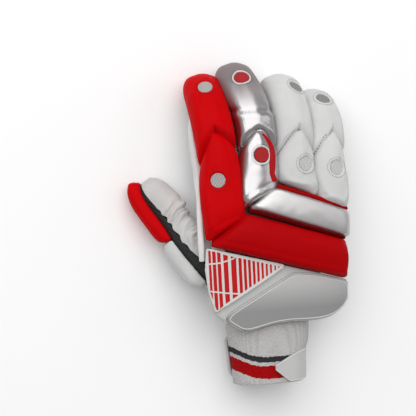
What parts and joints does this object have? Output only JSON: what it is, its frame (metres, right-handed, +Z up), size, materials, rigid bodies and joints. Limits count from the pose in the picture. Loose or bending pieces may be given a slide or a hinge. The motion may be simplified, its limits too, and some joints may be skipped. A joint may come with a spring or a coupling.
{
  "type": "cricket batting glove",
  "caption": "Right-hand batting glove with padded finger rolls, a side-padded thumb, a gauntlet flap over the wrist and a strapped knitted cuff.",
  "frame": {"origin": "on the resting surface, under the middle of the glove's outline", "axes": "+Z up out of the back of the hand, +Y towards the fingertips, +X towards the little finger"},
  "size_m": [0.1866, 0.2772, 0.07],
  "materials": {
    "leather": "soft white leather with a fine grain and wear folds",
    "grey_leather": "smooth off-white leather, second layer",
    "liner": "white coated fabric, matt",
    "mesh": "black open knitted mesh",
    "red_pad": "red coated leather over foam, satin",
    "white_pad": "white coated leather over foam, satin",
    "silver": "mirror-like silver foil on coated leather",
    "piping": "red coated leather strip",
    "grey_vent": "pale grey ventilation mesh",
    "red_vent": "red ventilation mesh",
    "gauntlet": "white coated leather, stitched edges",
    "badge": "red moulded rubber with a pale rim",
    "towel": "white knitted towelling with woven bands"
  },
  "bodies": {
    "root": {"palm_leather": "leather", "heel_patch": "grey_leather", "back_liner": "liner", "side_guard": "white_pad", "red_roll": "red_pad", "silver_bar": "silver", "bar_piping_upper": "piping", "bar_piping_lower": "piping", "gauntlet": "gauntlet", "stripe_panel": "red_pad", "flap_panel": "gauntlet", "thumb_leather": "leather", "thumb_mesh": "mesh", "thumb_pad_upper": "red_pad", "thumb_pad_lower": "white_pad", "wrist_cuff": "towel", "wrist_strap": "gauntlet", "strap_badge": "badge", "index_gusset": "mesh", "index_back_liner": "liner", "index_palm_leather": "leather", "index_upper_pad": "red_pad", "index_lower_pad": "red_pad", "index_upper_vent": "grey_vent", "index_lower_vent": "grey_vent", "middle_gusset": "mesh", "middle_back_liner": "liner", "middle_palm_leather": "leather", "middle_upper_pad": "silver", "middle_lower_pad": "silver", "middle_upper_vent": "red_vent", "middle_lower_vent": "red_vent", "ring_gusset": "mesh", "ring_back_liner": "liner", "ring_palm_leather": "leather", "ring_upper_pad": "white_pad", "ring_lower_pad": "white_pad", "ring_upper_vent": "grey_vent", "ring_lower_vent": "grey_vent", "little_gusset": "mesh", "little_back_liner": "liner", "little_palm_leather": "leather", "little_upper_pad": "white_pad", "little_lower_pad": "white_pad", "little_upper_vent": "grey_vent", "little_lower_vent": "grey_vent", "finger_web_1": "mesh", "finger_web_2": "mesh", "finger_web_3": "mesh"}
  },
  "joints": []
}
